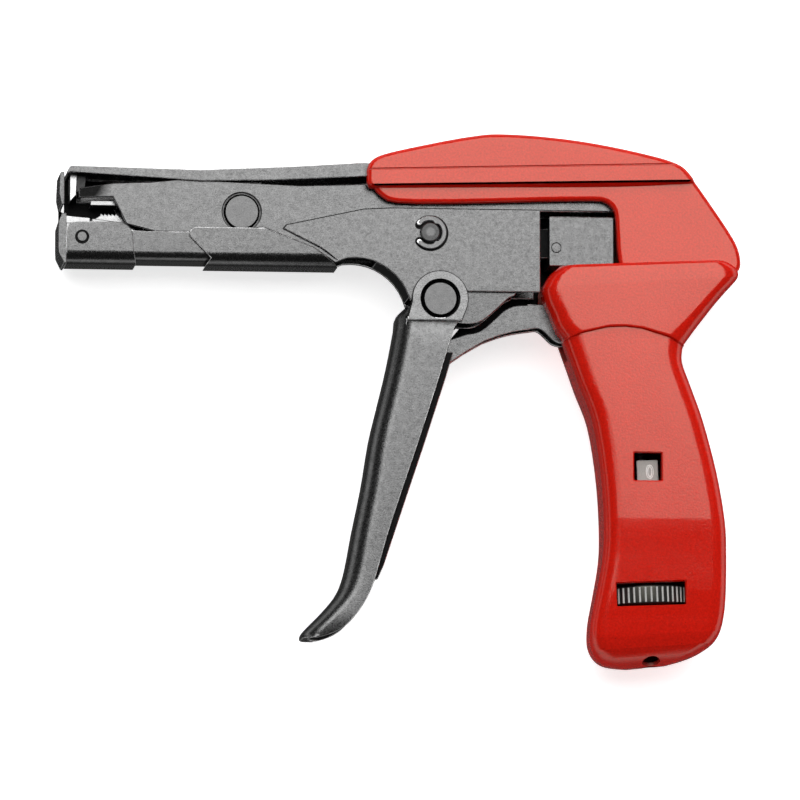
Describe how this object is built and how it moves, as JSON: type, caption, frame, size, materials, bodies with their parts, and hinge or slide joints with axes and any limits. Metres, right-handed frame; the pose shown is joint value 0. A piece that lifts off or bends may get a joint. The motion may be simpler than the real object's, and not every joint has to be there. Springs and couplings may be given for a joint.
{
  "type": "cable tie tensioning tool",
  "caption": "Pistol-grip hand tool that pulls a cable tie tight with a toothed pawl and cuts its tail at the nose; thumbwheel in the grip sets the tension.",
  "frame": {"origin": "centre of the bounding box's bottom face: the tool lies on the far face of its grip, which is z = 0", "axes": "+X from the nose towards the back of the grip, +Y from the grip's foot towards the crown, +Z from the far side to the near side"},
  "size_m": [0.1641, 0.1278, 0.025],
  "materials": {
    "black_steel": "satin black oxide",
    "bright_steel": "satin",
    "spring_steel": "satin",
    "red_plastic": "satin, finely textured",
    "wheel_plastic": "matt",
    "dial_plastic": "matt"
  },
  "bodies": {
    "frame": {"near_side_plate": "black_steel", "far_side_plate": "black_steel", "near_lug_plate": "black_steel", "far_lug_plate": "black_steel", "barrel_channel": "black_steel", "nose_bracket": "black_steel", "rear_bracket": "black_steel", "nose_plate": "black_steel", "tie_guide": "bright_steel", "nose_rivet": "bright_steel", "front_web": "black_steel", "frame_spacers": "black_steel", "lever_pin": "black_steel", "trigger_pin": "black_steel", "guide_pin": "bright_steel", "e_clip": "bright_steel", "near_shell": "red_plastic", "far_shell": "red_plastic", "housing_screws": "bright_steel", "rocker_pivot_pin": "bright_steel", "spring_cap": "black_steel", "trigger_spring": "spring_steel", "lever_spring": "spring_steel", "tension_spring": "spring_steel"},
    "trigger": {"trigger": "black_steel", "trigger_liner": "black_steel", "link_pin": "bright_steel"},
    "drive_link": {"drive_link": "black_steel"},
    "rocker": {"rocker": "black_steel", "rocker_link_pin": "bright_steel", "crosshead_pin": "bright_steel"},
    "draw_bar": {"draw_bar": "bright_steel", "crosshead": "black_steel", "crosshead_rivet": "black_steel", "jaw_head": "bright_steel", "pawl_pin": "bright_steel", "pawl_spring": "spring_steel"},
    "pawl": {"pawl": "bright_steel"},
    "cutter_lever": {"cutter_lever": "black_steel", "cutter_blade": "bright_steel", "blade_holder": "black_steel", "blade_rivet": "bright_steel"},
    "tension_screw": {"tension_screw": "bright_steel", "thumbwheel": "wheel_plastic"},
    "tension_nut": {"tension_nut": "black_steel", "number_slide": "dial_plastic"}
  },
  "joints": [
    {"name": "trigger_pull", "type": "hinge", "parent": "frame", "child": "trigger", "pos_m": [0.00935, 0.0239, 0.0125], "axis": [0, 0, 1], "range_deg": [0, 36], "stiffness_Nm_per_rad": 0.25, "springref_deg": -17.19, "deforming": ["trigger_spring"]},
    {"name": "link_swing", "type": "hinge", "parent": "trigger", "child": "drive_link", "pos_m": [0.00632, 0.00898, 0.0125], "axis": [0, 0, 1], "range_deg": [-30, 0]},
    {"name": "rocker_swing", "type": "hinge", "parent": "frame", "child": "rocker", "pos_m": [0.05435, 0.00613, 0.0125], "axis": [0, 0, 1], "range_deg": [-31, 0]},
    {"name": "draw", "type": "slide", "parent": "frame", "child": "draw_bar", "axis": [1, 0, 0], "range_m": [0, 0.0181]},
    {"name": "pawl_grip", "type": "hinge", "parent": "draw_bar", "child": "pawl", "pos_m": [-0.06427, 0.03818, 0.0125], "axis": [0, 0, 1], "range_deg": [-14, 0], "stiffness_Nm_per_rad": 0.02, "springref_deg": 5.73},
    {"name": "cut", "type": "hinge", "parent": "frame", "child": "cutter_lever", "pos_m": [-0.03818, 0.04448, 0.0125], "axis": [0, 0, 1], "range_deg": [0, 4.2], "stiffness_Nm_per_rad": 0.5, "springref_deg": -5.73, "deforming": ["lever_spring"]},
    {"name": "wheel_turn", "type": "hinge", "parent": "frame", "child": "tension_screw", "pos_m": [0.0598, -0.04683, 0.0125], "axis": [-0.0401, 0.9992, 0], "range_deg": [0, 2881]},
    {"name": "nut_travel", "type": "slide", "parent": "frame", "child": "tension_nut", "axis": [-0.0401, 0.9992, 0], "range_m": [0, 0.0144], "deforming": ["tension_spring"]}
  ],
  "couplings": [
    {"joint": "link_swing", "follows": "trigger_pull", "ratio": -0.81},
    {"joint": "rocker_swing", "follows": "trigger_pull", "ratio": -0.8505},
    {"joint": "draw", "follows": "trigger_pull", "m_per_rad": 0.0286},
    {"joint": "wheel_turn", "follows": "nut_travel", "rad_per_m": 3490.7}
  ]
}
